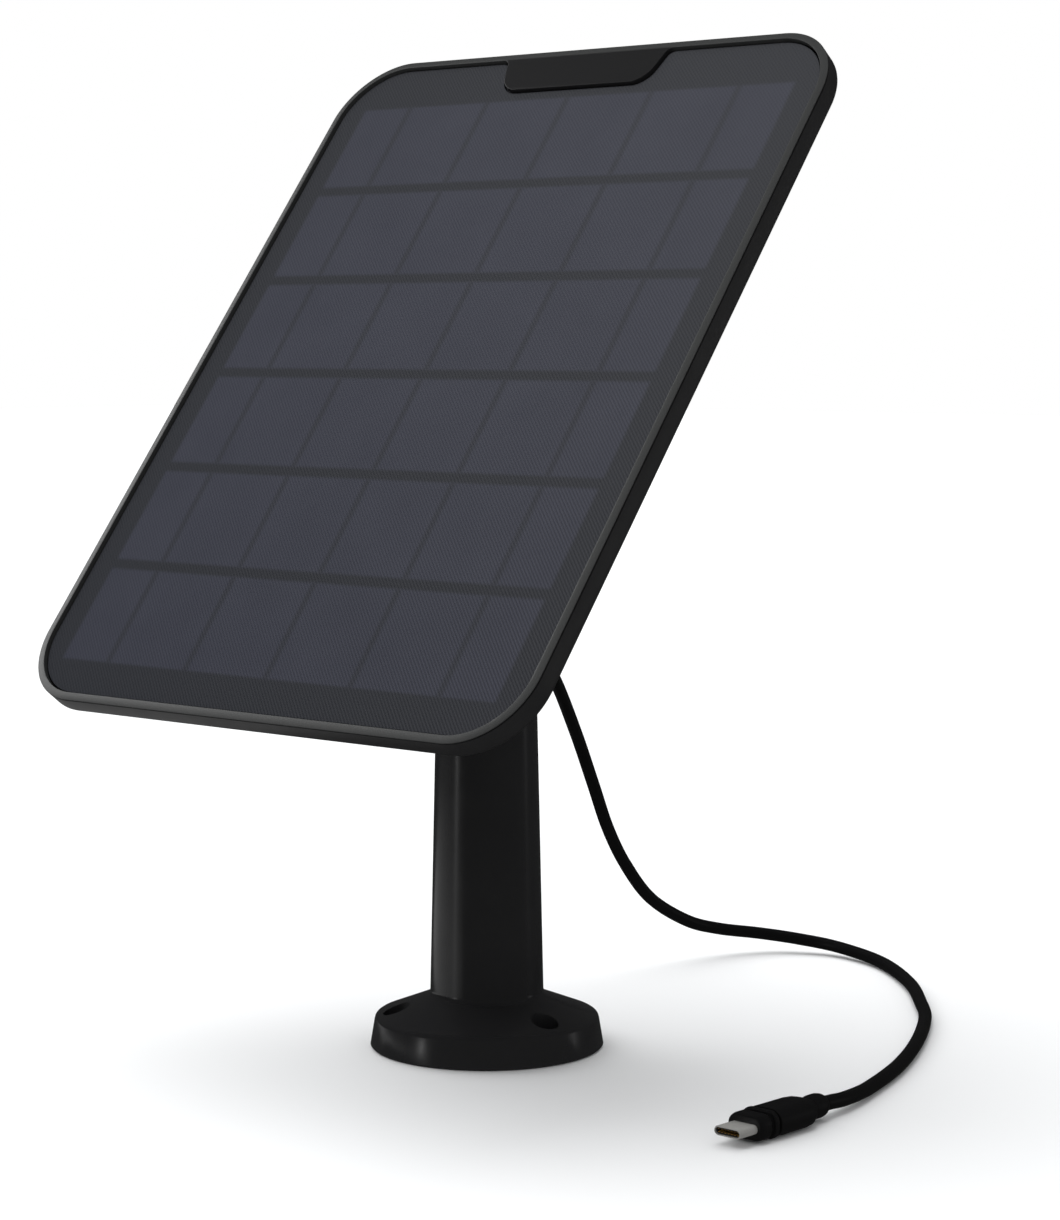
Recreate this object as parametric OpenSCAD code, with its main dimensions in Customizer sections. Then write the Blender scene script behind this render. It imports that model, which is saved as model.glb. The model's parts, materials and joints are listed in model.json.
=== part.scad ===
// Solar charging panel on a post bracket, with a USB-C lead.
// Origin: centre of the flange's underside. +Z runs up the post, and the panel faces -Y.

/* [Panel] */
// Width of the panel
panel_w = 176; // [160:1:200]
// Height of the panel, measured along its face
panel_h = 222.6; // [210:0.2:240]
// Radius of the panel's corners
corner_r = 21; // [15:1:24]
// Lean of the panel back from upright, in degrees
tilt = 37.9; // [20:0.1:60]
// Width of the frame's front rim
rim_w = 2.2; // [2:0.2:4]

/* [Cells] */
// Distance between neighbouring cell strips
strip_pitch = 32.7; // [30:0.1:33.5]
// Width of the field of cells
cell_field_w = 155; // [140:1:160]
// Distance between neighbouring ribbons
ribbon_pitch = 29.7; // [24:0.1:30]

/* [Bracket] */
// Radius of the flange at its underside
flange_r = 32.1; // [30:0.1:40]
// Height of the flange's rim
flange_t = 7.5; // [6:0.1:10]
// Diameter of the circle that the fixing screws stand on
screw_pcd = 50; // [46:0.5:52]
// Radius of each fixing hole
screw_hole_r = 2.15; // [2:0.05:2.6]
// Turn of the first fixing hole about the post, in degrees
screw_turn = -10; // [-60:1:60]
// Height of the tilt axis above the flange's underside
pivot_z = 167.7; // [165:0.1:175]

/* [Lead] */
// Diameter of the lead
lead_d = 3.8; // [3.4:0.1:4]

/* [Hidden] */
$fn = 96;

// Levels on the panel, measured along its outward normal from the film's face
reach = 30;            // from the tilt axis to the film's face
rim_top = 1;
seam = 0.1;            // top of the housing's side wall, where the frame sits
side_back = -6.4;      // back of the housing's side wall
side = 1.3;            // thickness of the side wall
wall = 1.6;            // thickness of the housing's back
film_t = 0.6;
cell_t = 0.4;
board_top = -film_t - cell_t;
board_t = 1.6;
film_gap = 0.5;
cover_back = -12.4;
cover_w = 96;
cover_h = 120;
cover_r = 12;
window_w = 76;
window_h = 100;
cover_screws_at = [for (x = [-42.4, 42.4], y = [-52.4, 0, 52.4]) [x, y]];

// Tab that hangs from the middle of the top rim
tab_drop = 13.8;
tab_half_w = 25.6;
tab_r = 5;
grid_shift = -2.15;    // the cells sit a little below the panel's middle

// Bracket levels
deck_z = 98;
top_z = 118;
neck_z = 104;
neck_r = 11.9;
post_foot_r = 15.9;
post_top_r = 13.6;
post_bore_r = 11;
spigot_r = 5;
spigot_gap = 0.3;
fit = 0.06;
cheek_r = 11.5;
cheek_in = 8.1;
cheek_out = 14;
barrel_r = 10.5;
barrel_half = 7.4;
bolt_r = 3;
ring_r = 16.5;
ring_low = 105;
ring_high = 124.6;

// Gland and socket places on the panel
gland_s = -34.5;
gland_t = -12;
gland_l = 9.6;
vent_at = [-36, 40];
socket_screws_at = [for (x = [-24.7, 24.7], y = [-15, 12]) [x, y]];
board_posts = [[-18, -8], [34, -8], [-18, 44], [34, 44]];
board_back = -9.2;
board_face = -7.6;
socket_w = 54;
socket_low = -29;
socket_high = 27;
plate_w = 44;
plate_low = -22;
plate_high = 22;
plate_back = -16.3;
plate_t = 3.7;
button_w = 14;
button_low = -34;
button_high = -22.3;
lug = 0.9;
well_floor = -5.6;

// The plug lies flat on the floor
plug_at = [116.9, -5.8, 3.6];
plug_turn = -92;
relief_l = 6.5;
body_l = 16.5;
collar_l = 3.6;
nose_l = 4.2;
shell_l = 6.6;

// The lead's route: out of the gland, down behind the post and round to the right
lead_route = [
    [-34.5, -13.7, 163.1], [-34.5, -2, 153.9], [-34.2, 10, 144.4], [-33.2, 26, 131.2],
    [-31.3, 40, 118.5], [-29, 51, 106.8], [-26.8, 59.5, 95.3], [-26.2, 69, 78], [-26.8, 78, 61.3],
    [-27.6, 86, 46.8], [-27.9, 95, 34.3], [-28.4, 108, 22], [-27, 124, 13], [-24.5, 137, 8.8],
    [-18, 150, 6.2], [-8.5, 157.5, 4.5], [5, 161, 3], [26, 154, 2.1], [49, 135, 2], [67, 114, 2],
    [79, 98, 2], [93, 73, 2], [105, 46, 2], [113.2, 20, 2.2], [116.6, 5, 2.95], [117.05, -1.8, 3.45],
    [116.9, -5.8, 3.6]];

// ---------------------------------------------------------------- helpers
function arc(cx, cy, r, from, to, steps = 8) =
    [for (i = [0:steps]) let (a = from + (to - from) * i / steps) [cx + r * cos(a), cy + r * sin(a)]];

module rounded_rect(w, h, r) {
    square([w - 2 * r, h], center = true);
    if (h > 2 * r) square([w, h - 2 * r], center = true);
    for (x = [-1, 1], y = [-1, 1])
        translate([x * (w / 2 - r), y * (h / 2 - r)]) circle(r);
}

// A plate between two levels
module slab(low, high) {
    translate([0, 0, low]) linear_extrude(high - low) children();
}

// Children drawn in the panel's own frame: X across, Y up the face, Z out of the face
module on_panel() {
    translate([0, 0, pivot_z]) rotate([90 - tilt, 0, 0]) translate([0, 0, reach]) children();
}

module outline(inset) {
    rounded_rect(panel_w - 2 * inset, panel_h - 2 * inset, corner_r - inset);
}

// The tab's outline, grown by a margin, reaching up past the rim
module tab_shape(grow = 0) {
    w = tab_half_w + grow;
    low = panel_h / 2 - tab_drop - grow;
    r = tab_r + grow;
    top = panel_h / 2 - rim_w - grow;
    slant = 2.6;
    ease = 2 - grow * 0.9;
    right = concat(arc(w - r, low + r, r, -90, -10),
        arc(w + slant + ease * 0.6, top - ease, ease, 170, 90));
    left = [for (i = [len(right) - 1:-1:0]) [-right[i][0], right[i][1]]];
    lift = rim_w / 2;
    polygon(concat(right, [[w + slant + ease, top + lift], [-w - slant - ease, top + lift]], left));
}

module screw(r, head_r, head_t, length) {
    cylinder(r = r, h = length);
    translate([0, 0, -head_t]) difference() {
        cylinder(r = head_r, h = head_t);
        for (a = [0, 90])
            rotate(a) translate([-head_r * 0.6, -0.3, -0.1]) cube([head_r * 1.2, 0.6, head_t * 0.55]);
    }
}

// ---------------------------------------------------------------- bracket
function post_r(z) = post_foot_r - (post_foot_r - post_top_r) * z / neck_z;

module bracket_post() color("#1c1c1d") {
    edge_r = 1.3;
    edge_in = 2.5;
    cone_deg = 21.3;       // rise of the flange's top towards the post
    foot_r = 2;
    relief_in = 17;
    relief_out = 28.6;
    relief_top = 5.2;
    pocket_floor = 4.6;
    pocket_r = 3.8;
    boss_r = 6.2;
    edge_x = flange_r - edge_in;
    foot_x = post_r(15.7) + foot_r;
    // the foot's round touches both the cone and the post
    foot_z = flange_t + (edge_x - foot_x) * tan(cone_deg) + (edge_r + foot_r) / cos(cone_deg);
    difference() {
        rotate_extrude() polygon(concat(
            [[0, 0], [flange_r - 0.5, 0], [flange_r, 0.5]],
            arc(edge_x, flange_t, edge_r, 8, 90 - cone_deg),
            arc(foot_x, foot_z, foot_r, 270 - cone_deg, 180),
            [[post_top_r, neck_z], [neck_r - 0.7, neck_z], [neck_r - 0.7, neck_z + 3]],
            [for (i = [0:2], p = [[0, 0], [0.7, 0.6], [0.7, 1.8], [0, 2.4]])
                [neck_r - 0.7 + p[0], neck_z + 4 + i * 3.6 + p[1]]],
            [[neck_r - 0.7, top_z], [0, top_z]]));
        translate([0, 0, -1]) cylinder(r = post_bore_r, h = deck_z + 1);
        translate([0, 0, deck_z - 1]) cylinder(r = spigot_r + fit, h = top_z - deck_z + 2);
        // room for the head's stop lug: half a turn and the lug's own width
        translate([0, 0, top_z - 5]) rotate(-102) rotate_extrude(angle = 204)
            translate([spigot_r - 0.5, 0]) square([4, 6]);
        // underside relief between the rim, the hub and the screw bosses
        difference() {
            translate([0, 0, -1]) rotate_extrude()
                translate([relief_in, 0]) square([relief_out - relief_in, relief_top + 1]);
            for (i = [0:2]) rotate(screw_turn + 120 * i) {
                translate([screw_pcd / 2, 0, -2]) cylinder(r = boss_r, h = relief_top + 4);
                rotate(60) translate([0, -0.8, -2]) cube([relief_out + 1, 1.6, relief_top + 4]);
            }
        }
        for (i = [0:2]) rotate(screw_turn + 120 * i) translate([screw_pcd / 2, 0, 0]) {
            translate([0, 0, -1]) cylinder(r = screw_hole_r, h = 20);
            translate([0, 0, pocket_floor]) cylinder(r = pocket_r, h = 20);
        }
    }
}

module swivel_head() color("#1f1f20") {
    flange_h = 3.5;
    stem_r = 9.5;
    gap_low = 154;
    block_low = 129;
    difference() {
        union() {
            translate([0, 0, deck_z + spigot_gap]) cylinder(r = spigot_r, h = top_z - deck_z);
            translate([0, 0, top_z - 4.7]) rotate(-8) rotate_extrude(angle = 16)
                translate([spigot_r - 1, 0]) square([4.1, 5]);
            translate([0, 0, top_z + 0.1]) cylinder(r = neck_r - 0.2, h = flange_h);
            translate([0, 0, top_z + flange_h]) cylinder(r = stem_r, h = 9);
            translate([0, 0, block_low - 3.4]) cylinder(r1 = stem_r, r2 = cheek_r, h = 3.5);
            translate([-cheek_out, -cheek_r, block_low])
                cube([2 * cheek_out, 2 * cheek_r, pivot_z - block_low]);
            translate([-cheek_out, 0, pivot_z]) rotate([0, 90, 0])
                cylinder(r = cheek_r, h = 2 * cheek_out);
        }
        translate([-cheek_in, -20, gap_low]) cube([2 * cheek_in, 40, 60]);
        translate([-30, 0, pivot_z]) rotate([0, 90, 0]) cylinder(r = bolt_r + fit, h = 60);
        // hexagonal seat for the bolt's head
        translate([-cheek_out - 0.01, 0, pivot_z]) rotate([0, 90, 0]) cylinder(r = 6, h = 2.6, $fn = 6);
        translate([0, 0, deck_z]) cylinder(r = 2, h = 20);
    }
}

module pivot_screw() color("#9a9da1") {
    translate([0, 0, deck_z - 1.3]) screw(2, 4, 2.6, 18);
}

module pivot_washer() color("#8c8f94") {
    translate([0, 0, deck_z - 1.3]) difference() {
        union() {
            cylinder(r = 8.5, h = 1.2);
            cylinder(r = spigot_r - 0.6, h = spigot_gap + 1.3);
        }
        translate([0, 0, -1]) cylinder(r = 2.2, h = 4);
    }
}

module pan_lock_ring() color("#232324") {
    flutes = 24;
    lip_z = top_z + 3.8;
    difference() {
        rotate_extrude() polygon([[neck_r + fit, ring_low], [ring_r - 1, ring_low], [ring_r, ring_low + 1],
            [ring_r, ring_high - 2.5], [ring_r - 2.5, ring_high], [9.8, ring_high], [9.8, lip_z],
            [neck_r + fit, lip_z]]);
        for (i = [0:flutes - 1]) rotate(360 / flutes * i)
            translate([ring_r + 0.5, 0, ring_low - 1]) cylinder(r = 1.1, h = ring_high - ring_low - 2);
    }
}

// ---------------------------------------------------------------- tilt joint
module tilt_bolt() color("#8c8f94") {
    translate([-cheek_out + 0.2, 0, pivot_z]) rotate([0, 90, 0]) {
        cylinder(r = bolt_r, h = 35);
        cylinder(r = 5.8, h = 2.3, $fn = 6);
    }
}

module friction_washers() color("#3a3a3c") {
    for (x = [-cheek_in + 0.05, barrel_half + 0.05]) translate([x, 0, pivot_z]) rotate([0, 90, 0])
        difference() {
            cylinder(r = 9.5, h = cheek_in - barrel_half - 0.1);
            translate([0, 0, -1]) cylinder(r = bolt_r + 0.02, h = 4);
        }
}

module tilt_knob() color("#232324") {
    lobes = 6;
    knob_x = cheek_out + 0.4;
    knob_t = 12;
    translate([knob_x, 0, pivot_z]) rotate([0, 90, 0]) difference() {
        union() {
            cylinder(r = 7, h = knob_t);
            translate([0, 0, 2.5]) cylinder(r = 9.4, h = knob_t - 2.5);
            for (i = [0:lobes - 1]) rotate(360 / lobes * i)
                translate([8.3, 0, 2.5]) cylinder(r = 2.6, h = knob_t - 2.5);
        }
        translate([0, 0, -1]) cylinder(r = 4.4, h = 9);
    }
}

module knob_insert() color("#b08d4a") {
    translate([cheek_out + 0.5, 0, pivot_z]) rotate([0, 90, 0]) difference() {
        cylinder(r = 4.4, h = 7.4);
        translate([0, 0, -1]) cylinder(r = bolt_r + 0.05, h = 10);
    }
}

module tilt_arm() color("#1f1f20") {
    arm_half = 8;
    difference() {
        union() {
            on_panel() {
                slab(plate_back, plate_back + plate_t)
                    translate([0, (plate_low + plate_high) / 2])
                        rounded_rect(plate_w, plate_high - plate_low, 4);
                slab(-reach, plate_back + 0.5) square([2 * barrel_half, 2 * arm_half], center = true);
            }
            translate([-barrel_half, 0, pivot_z]) rotate([0, 90, 0])
                cylinder(r = barrel_r, h = 2 * barrel_half);
        }
        translate([-20, 0, pivot_z]) rotate([0, 90, 0]) cylinder(r = bolt_r + fit, h = 40);
    }
}

// ---------------------------------------------------------------- back of the panel
module rear_socket() color("#1f1f20") {
    lip_back = -17.8;
    lip_t = 1.3;
    play = 0.15;
    mid = (socket_low + socket_high) / 2;
    on_panel() difference() {
        slab(lip_back, cover_back)
            translate([0, mid]) rounded_rect(socket_w, socket_high - socket_low, 5);
        slab(plate_back - play, cover_back + 1) {
            translate([-plate_w / 2 - play, socket_low - 1])
                square([plate_w + 2 * play, plate_high + play - socket_low + 1]);
        }
        slab(lip_back - 1, lip_back + lip_t + 0.1)
            translate([-18.5, socket_low - 1]) square([37, 18.5 - socket_low + 1]);
        for (p = socket_screws_at) translate([p[0], p[1], lip_back - 1]) {
            cylinder(r = 1.25, h = 10);
            cylinder(r = 2.1, h = 2.4);
        }
    }
}

module socket_screws() color("#8c8f94") {
    on_panel() for (p = socket_screws_at) translate([p[0], p[1], -16.4]) screw(1.25, 2, 1.1, 6.4);
}

module release_button() color("#2b2b2c") {
    step_back = -15;
    pad_back = -17;
    stem_top = -8.6;
    split = -27;
    on_panel() difference() {
        union() {
            slab(step_back, stem_top) translate([-button_w / 2, button_low])
                square([button_w, button_high - button_low]);
            slab(pad_back, step_back + 0.1) translate([-button_w / 2, button_low])
                square([button_w, split - button_low]);
            // lugs that stop the button behind the cover's wall
            slab(stem_top - 2, stem_top - 0.8) translate([-button_w / 2 - lug, button_low + 2])
                square([button_w + 2 * lug, button_high - button_low - 4]);
        }
        for (i = [0:3]) translate([-button_w / 2 + 1.5, button_low + 1.2 + i * 1.6, pad_back - 0.5])
            cube([button_w - 3, 0.6, 1]);
        translate([0, (button_low + button_high) / 2, -12.5]) cylinder(r = 3, h = 10);
    }
}

module catch_spring() color("#a8abb0") {
    wire = 0.35;
    coil_r = 2.4;
    turns = 5;
    steps = 14;
    low = -12.5 + wire;
    rise = (well_floor - wire - low) / turns;
    on_panel() translate([0, (button_low + button_high) / 2, low])
        tube([for (i = [0:turns * steps]) let (a = 360 * i / steps)
            [coil_r * cos(a), coil_r * sin(a), rise * i / steps]], wire, 6);
}

// Lid pressed over the catch's well from inside
module catch_cap() color("#2b2b2c") {
    on_panel() slab(well_floor, well_floor + 1.2) translate([-button_w / 2 - 2.4, button_low - 1.9])
        square([button_w + 4.8, button_high - button_low + 3.8]);
}

module back_cover() color("#1d1d1e") {
    boss_r = 3;
    well_w = button_w + 4.8;
    well_h = button_high - button_low + 3.8;
    on_panel() difference() {
        union() {
            difference() {
                slab(cover_back, side_back) rounded_rect(cover_w, cover_h, cover_r);
                slab(cover_back + wall, side_back + 1)
                    rounded_rect(cover_w - 6, cover_h - 6, cover_r - 3);
            }
            for (p = cover_screws_at) slab(cover_back + 0.1, side_back) translate(p) circle(boss_r + 0.6);
            for (p = socket_screws_at) slab(cover_back + 0.1, board_back - 0.2) translate(p) circle(boss_r);
            for (p = board_posts) slab(cover_back + 0.1, board_back) translate(p) circle(boss_r);
            // closed well for the release button
            slab(cover_back + 0.1, well_floor) translate([-well_w / 2, button_low - 1.9])
                square([well_w, well_h]);
        }
        // groove for the gasket
        slab(side_back - 0.5, side_back + 1) difference() {
            rounded_rect(cover_w - 2, cover_h - 2, cover_r - 1);
            rounded_rect(cover_w - 5, cover_h - 5, cover_r - 2.5);
        }
        slab(cover_back - 1, well_floor + 1) translate([-button_w / 2 - 0.2, button_low - 0.2])
            square([button_w + 0.4, button_high - button_low + 0.4]);
        slab(cover_back + wall, well_floor + 1) translate([-button_w / 2 - lug - 0.3, button_low - 0.2])
            square([button_w + 2 * lug + 0.6, button_high - button_low + 0.4]);
        for (p = cover_screws_at) translate([p[0], p[1], cover_back - 1]) {
            cylinder(r = 1.25, h = 10);
            cylinder(r = 2.6, h = 2.8);
        }
        for (p = board_posts) translate([p[0], p[1], -11.4]) cylinder(r = 0.9, h = 5);
        for (p = socket_screws_at) translate([p[0], p[1], cover_back - 1]) cylinder(r = 1.25, h = 3.5);
        translate([gland_s, gland_t, cover_back - 1]) cylinder(r = 4, h = 5);
        translate([vent_at[0], vent_at[1], cover_back - 1]) cylinder(r = 2, h = 5);
    }
}

module cover_gasket() color("#4a4a4c") {
    on_panel() slab(side_back - 0.5, side_back) difference() {
        rounded_rect(cover_w - 2.2, cover_h - 2.2, cover_r - 1.1);
        rounded_rect(cover_w - 4.8, cover_h - 4.8, cover_r - 2.4);
    }
}

module cover_screws() color("#8c8f94") {
    on_panel() for (p = cover_screws_at) translate([p[0], p[1], -10.6]) screw(1.25, 2.4, 1.5, 7.4);
}

module vent_plug() color("#353537") {
    on_panel() translate([vent_at[0], vent_at[1], cover_back]) {
        translate([0, 0, -1]) cylinder(r = 4, h = 1);
        cylinder(r = 2, h = 3);
    }
}

module cable_gland() color("#1a1a1b") {
    flare = 1.2;
    on_panel() translate([gland_s, gland_t, cover_back]) difference() {
        union() {
            translate([0, 0, -1.6]) cylinder(r = 6.5, h = 1.6);
            cylinder(r = 3.98, h = wall + 2.8);
            translate([0, 0, -gland_l]) cylinder(r1 = 3.2, r2 = 4.6, h = gland_l - 1.5);
        }
        translate([0, 0, -20]) cylinder(r = lead_d / 2, h = 40);
        for (i = [0:2]) translate([0, 0, -8.2 + i * 2.1]) difference() {
            cylinder(r = 8, h = 0.8);
            translate([0, 0, -1]) cylinder(r = lead_d / 2 + flare, h = 3);
        }
    }
}

module gland_nut() color("#353537") {
    on_panel() translate([gland_s, gland_t, cover_back + wall]) difference() {
        cylinder(r = 6.2, h = 2.6, $fn = 6);
        translate([0, 0, -1]) cylinder(r = 4, h = 5);
    }
}

// The lead's inner end, held in the gland
module lead_inner() color("#161616") {
    on_panel() translate([gland_s, gland_t, cover_back - gland_l]) cylinder(r = lead_d / 2, h = gland_l + 5.6);
}

// The lead's two cores, from its jacket to the socket on the board
module lead_cores() color("#a02020") {
    core_r = 0.65;
    bend = 2.4;
    start = cover_back + 5.6;
    on_panel() for (y = [-0.9, 0.9]) tube(concat(
        [[gland_s, gland_t + y, start]],
        [for (p = arc(gland_s + bend, start + 0.4, bend, 180, 90, 5)) [p[0], gland_t + y, p[1]]],
        [for (p = [[-29.5, -10.6], [-27, -8], [-25.6, -4], [-24.6, -1], [-23.2, 1], [-21.4, 1.6]])
            [p[0] - y * 0.5, p[1] + y, start + 0.4 + bend]]), core_r, 6);
}

module board_socket() color("#e6e6e4") {
    on_panel() translate([-20.8, -1.5, board_face]) cube([5.5, 7, 5]);
}

module charge_board() color("#1e5b3a") {
    on_panel() difference() {
        slab(board_back, board_face) translate([8, 18]) rounded_rect(58, 60, 3);
        for (p = board_posts) translate([p[0], p[1], board_back - 1]) cylinder(r = 1.1, h = 4);
    }
}

module board_screws() color("#8c8f94") {
    on_panel() for (p = board_posts) translate([p[0], p[1], board_face]) mirror([0, 0, 1])
        screw(0.9, 1.9, 0.9, 3.4);
}

module board_coil() color("#8a4b22") {
    on_panel() translate([22, 22, board_face]) difference() {
        cylinder(r = 6.5, h = 3.6);
        translate([0, 0, -1]) cylinder(r = 2.2, h = 6);
    }
}

module board_chips() color("#151515") {
    on_panel() {
        for (p = [[-6, 30, 9, 9, 1.2], [-8, 12, 7, 5, 1.5], [8, 36, 5, 4, 1.1], [30, 6, 6, 4, 2]])
            translate([p[0], p[1], board_face]) cube([p[2], p[3], p[4]]);
        for (x = [2, 9]) translate([x, 4, board_face]) cylinder(r = 2.6, h = 3.8);
    }
}

module feed_wires() color("#a02020") {
    on_panel() for (i = [0, 1]) translate([20 + 8 * i, -3, board_face])
        cylinder(r = 0.7, h = board_top - board_t - board_face);
}

// ---------------------------------------------------------------- panel
module rear_housing() color("#2e2e2f") {
    ledge = 5;
    back_sheet = board_top - board_t;
    on_panel() difference() {
        union() {
            difference() {
                slab(side_back, seam) outline(0);
                slab(side_back + wall, seam + 1) outline(side);
            }
            slab(side_back + 0.1, back_sheet) difference() {
                outline(side - 0.1);
                outline(side + ledge);
            }
            for (p = cover_screws_at) slab(side_back + 0.1, back_sheet - 0.2) translate(p) circle(3.6);
            // stiffening ribs across the tray
            for (y = [-84, 84]) slab(side_back + 0.1, back_sheet - 0.2)
                translate([-panel_w / 2 + 3, y]) square([panel_w - 6, 1.4]);
            for (x = [-64, 64]) slab(side_back + 0.1, back_sheet - 0.2)
                translate([x, -panel_h / 2 + 3]) square([1.4, panel_h - 6]);
        }
        slab(side_back - 1, side_back + wall + 1) rounded_rect(window_w, window_h, cover_r - 6);
        for (p = cover_screws_at) translate([p[0], p[1], side_back - 1]) cylinder(r = 1.25, h = 4.3);
    }
}

// The frame seen from the front, its outer edge drawn in by inset
module frame_face(inset) {
    difference() {
        outline(inset);
        difference() {
            outline(rim_w);
            tab_shape();
        }
    }
}

module front_frame() color("#3d3e3e") {
    groove = 0.4;
    groove_depth = 0.6;
    tongue_inset = side + 0.05;
    tongue_low = -2.1;
    tab_low = board_top + 0.3;
    on_panel() {
        slab(seam + groove, rim_top) frame_face(0);
        slab(seam, seam + groove + 0.1) frame_face(groove_depth);
        slab(tab_low, seam + 0.1) frame_face(tongue_inset);
        // the tongue that snaps inside the housing's wall
        slab(tongue_low, tab_low + 0.1) difference() {
            outline(tongue_inset);
            outline(rim_w + film_gap - 0.1);
        }
    }
}

module backing_board() color("#202225") {
    on_panel() slab(board_top - board_t, board_top) outline(3);
}

function strip_y(i) = grid_shift + (3.5 - i) * strip_pitch;

module cell_strip(i) color("#2a2f3c") {
    gap_y = 3.2;
    on_panel() slab(board_top, board_top + cell_t - 0.1)
        translate([-cell_field_w / 2, strip_y(i) - (strip_pitch - gap_y) / 2])
            square([cell_field_w, strip_pitch - gap_y]);
}

module ribbons() color("#5a5d62") {
    ribbon_w = 2;
    on_panel() slab(-film_t - 0.1, -film_t) for (i = [-2:2])
        translate([i * ribbon_pitch - ribbon_w / 2, grid_shift - 3 * strip_pitch])
            square([ribbon_w, 6 * strip_pitch]);
}

module cover_film() color("#3b3f4a") {
    on_panel() slab(-film_t, 0) difference() {
        outline(rim_w + film_gap);
        tab_shape(film_gap);
    }
}

// ---------------------------------------------------------------- lead and plug
function unit(v) = v / norm(v);
function along(pts, i) = unit(pts[min(i + 1, len(pts) - 1)] - pts[max(i - 1, 0)]);

// A smooth curve through the route's points
function spline(p, i, t) =
    let (a = p[max(i - 1, 0)], b = p[i], c = p[i + 1], d = p[min(i + 2, len(p) - 1)])
    0.5 * (2 * b + (c - a) * t + (2 * a - 5 * b + 4 * c - d) * t * t + (3 * b - a - 3 * c + d) * t * t * t);

lead_curve = concat([for (i = [0:len(lead_route) - 2], k = [0:1]) spline(lead_route, i, k / 2)],
    [lead_route[len(lead_route) - 1]]);

// Each ring's sideways direction is carried over from the one before it
function frames(pts, i = 0, side = [1, 0, 0]) = i == len(pts) ? [] :
    let (t = along(pts, i), s = unit(side - (side * t) * t)) concat([[s, cross(t, s)]], frames(pts, i + 1, s));

module tube(pts, r, sides) {
    f = frames(pts);
    n = len(pts);
    points = [for (i = [0:n - 1], k = [0:sides - 1])
        pts[i] + r * (cos(360 * k / sides) * f[i][0] + sin(360 * k / sides) * f[i][1])];
    walls = [for (i = [0:n - 2], k = [0:sides - 1]) let (a = i * sides + k, b = i * sides + (k + 1) % sides)
        [a, a + sides, b + sides, b]];
    caps = [[for (k = [0:sides - 1]) k], [for (k = [sides - 1:-1:0]) (n - 1) * sides + k]];
    polyhedron(points, concat(walls, caps), convexity = 6);
}

module lead_tube() color("#161616") {
    tube(lead_curve, lead_d / 2, 8);
}

// Children drawn along the plug: X from the lead's end to the mouth, Z up
module on_plug() {
    translate(plug_at) rotate(plug_turn) children();
}

module plug_slice(from, to, w, h, r) {
    translate([from, 0, 0]) rotate([90, 0, 90]) linear_extrude(to - from) rounded_rect(w, h, r);
}

module plug_relief() color("#161616") {
    on_plug() {
        rotate([0, 90, 0]) cylinder(r1 = 2.6, r2 = 3.2, h = 3);
        translate([3, 0, 0]) rotate([0, 90, 0]) cylinder(r = 3.2, h = relief_l - 3);
    }
}

module plug_body() color("#1b1b1c") {
    on_plug() {
        plug_slice(relief_l, relief_l + 2.4, 9.2, 6.2, 2.5);
        plug_slice(relief_l + 2.4, relief_l + body_l, 11.2, 7.1, 2.5);
    }
}

module plug_collar() color("#151515") {
    on_plug() {
        start = relief_l + body_l;
        plug_slice(start, start + 0.7, 9.4, 5.2, 2.2);
        plug_slice(start + 0.7, start + 2.3, 11.2, 7.1, 2.6);
        plug_slice(start + 2.3, start + collar_l, 9, 5, 2.2);
        difference() {
            plug_slice(start + collar_l, start + collar_l + nose_l, 10.8, 6.4, 2.6);
            plug_slice(start + collar_l + nose_l - 3, start + collar_l + nose_l + 1, 8.24, 2.4, 1.2);
        }
    }
}

module usb_shell() color("#c9cbce") {
    start = relief_l + body_l + collar_l + nose_l;
    on_plug() difference() {
        plug_slice(start - 3, start + shell_l, 8.24, 2.4, 1.2);
        plug_slice(start - 2, start + shell_l + 1, 7.64, 1.8, 0.9);
    }
}

module usb_tongue() color("#101010") {
    start = relief_l + body_l + collar_l + nose_l;
    on_plug() difference() {
        plug_slice(start - 2, start + shell_l - 0.5, 7.5, 1.7, 0.8);
        plug_slice(start + 0.6, start + shell_l, 6.6, 0.72, 0.3);
    }
}

// ---------------------------------------------------------------- assembly
bracket_post();
swivel_head();
pivot_screw();
pivot_washer();
pan_lock_ring();
tilt_bolt();
friction_washers();
tilt_knob();
knob_insert();
tilt_arm();
rear_socket();
socket_screws();
release_button();
catch_spring();
catch_cap();
back_cover();
cover_gasket();
cover_screws();
vent_plug();
cable_gland();
gland_nut();
lead_inner();
lead_cores();
board_socket();
charge_board();
board_screws();
board_coil();
board_chips();
feed_wires();
rear_housing();
front_frame();
backing_board();
ribbons();
cover_film();
for (i = [1:6]) cell_strip(i);
lead_tube();
plug_relief();
plug_body();
plug_collar();
usb_shell();
usb_tongue();
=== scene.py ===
"""The looks of a solar charging panel on a post bracket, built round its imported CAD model.

Lengths are in metres. The flange's underside is centred on the origin, +Z runs up the post
and the panel faces -Y.
"""
import json
import math

import bmesh
import bpy
from mathutils import Matrix, Vector


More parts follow.
